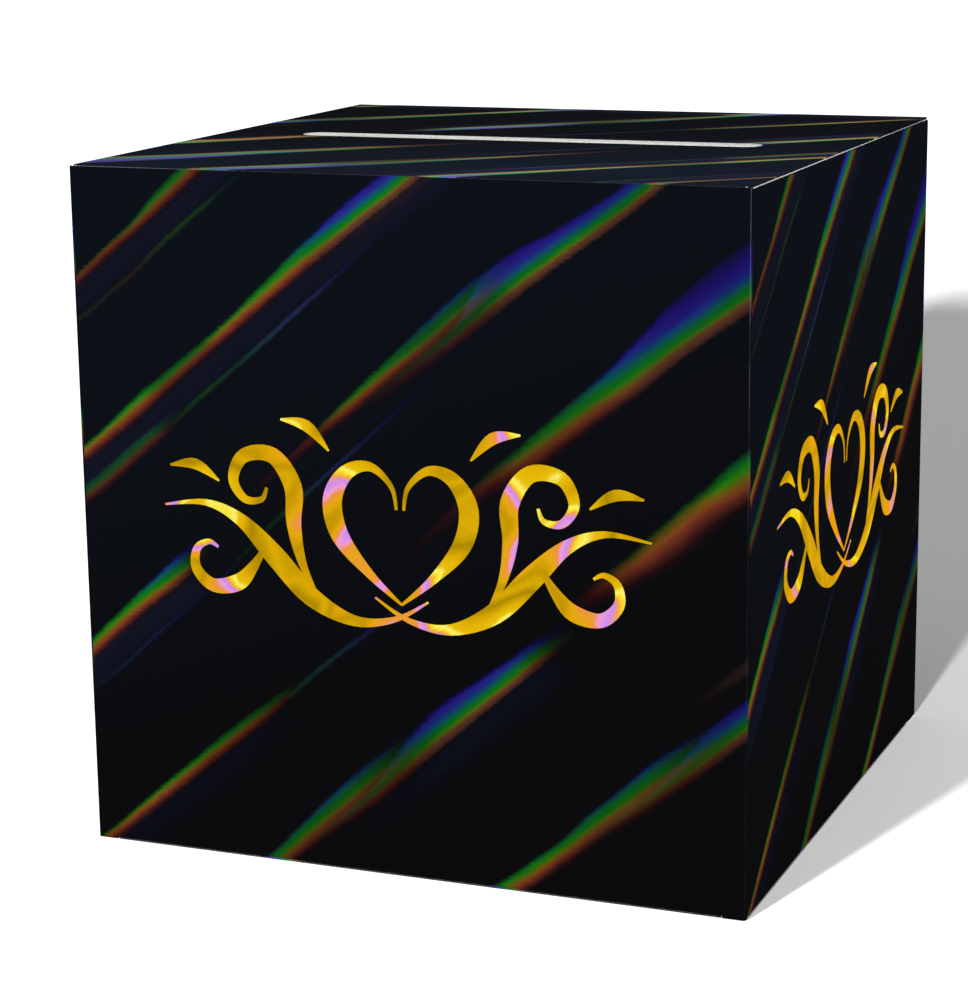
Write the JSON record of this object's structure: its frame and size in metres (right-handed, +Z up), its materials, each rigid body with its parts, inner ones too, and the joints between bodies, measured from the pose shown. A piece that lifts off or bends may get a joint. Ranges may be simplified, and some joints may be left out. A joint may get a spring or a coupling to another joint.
{
  "type": "wedding card box",
  "caption": "Cube folding-carton card box with a hinged tuck-in lid, a long card slot, dust flaps and a snap-lock bottom, in black holographic film with gold foil ornaments.",
  "frame": {"origin": "centre of the base, on the surface it stands on", "axes": "+X to the right, +Y from the front wall to the back wall, where the lid is hinged, +Z up; the front wall faces -Y"},
  "size_m": [0.2544, 0.2544, 0.254],
  "materials": {
    "film_board": "white carton board laminated outside with glossy black holographic film",
    "white_board": "uncoated white carton board",
    "glue": "dried carton glue",
    "gold_foil": "hot-stamped gold holographic foil"
  },
  "bodies": {
    "carton": {"front_panel": "film_board", "right_panel": "film_board", "back_panel": "film_board", "left_panel": "film_board", "glue_tab": "white_board", "seam_glue": "glue", "bottom_back_flap": "film_board", "bottom_right_flap": "film_board", "bottom_left_flap": "film_board", "bottom_front_flap": "film_board", "front_foil": "gold_foil", "right_foil": "gold_foil", "back_foil": "gold_foil", "left_foil": "gold_foil"},
    "lid": {"lid_panel": "film_board"},
    "tuck": {"tuck_flap": "film_board"},
    "right_dust": {"right_dust_flap": "film_board"},
    "left_dust": {"left_dust_flap": "film_board"}
  },
  "joints": [
    {"name": "lid_hinge", "type": "hinge", "parent": "carton", "child": "lid", "pos_m": [0, 0.1266, 0.2536], "axis": [-1, 0, 0], "range_deg": [0, 180]},
    {"name": "tuck_fold", "type": "hinge", "parent": "lid", "child": "tuck", "pos_m": [0, -0.1255, 0.2536], "axis": [-1, 0, 0], "range_deg": [0, 90]},
    {"name": "right_dust_fold", "type": "hinge", "parent": "carton", "child": "right_dust", "pos_m": [0.1266, 0, 0.2525], "axis": [0, 1, 0], "range_deg": [0, 90]},
    {"name": "left_dust_fold", "type": "hinge", "parent": "carton", "child": "left_dust", "pos_m": [-0.1266, 0, 0.2525], "axis": [0, -1, 0], "range_deg": [0, 90]}
  ],
  "couplings": [
    {"joint": "tuck_fold", "follows": "lid_hinge", "ratio": 0.5},
    {"joint": "right_dust_fold", "follows": "lid_hinge", "ratio": 0.5},
    {"joint": "left_dust_fold", "follows": "lid_hinge", "ratio": 0.5}
  ]
}
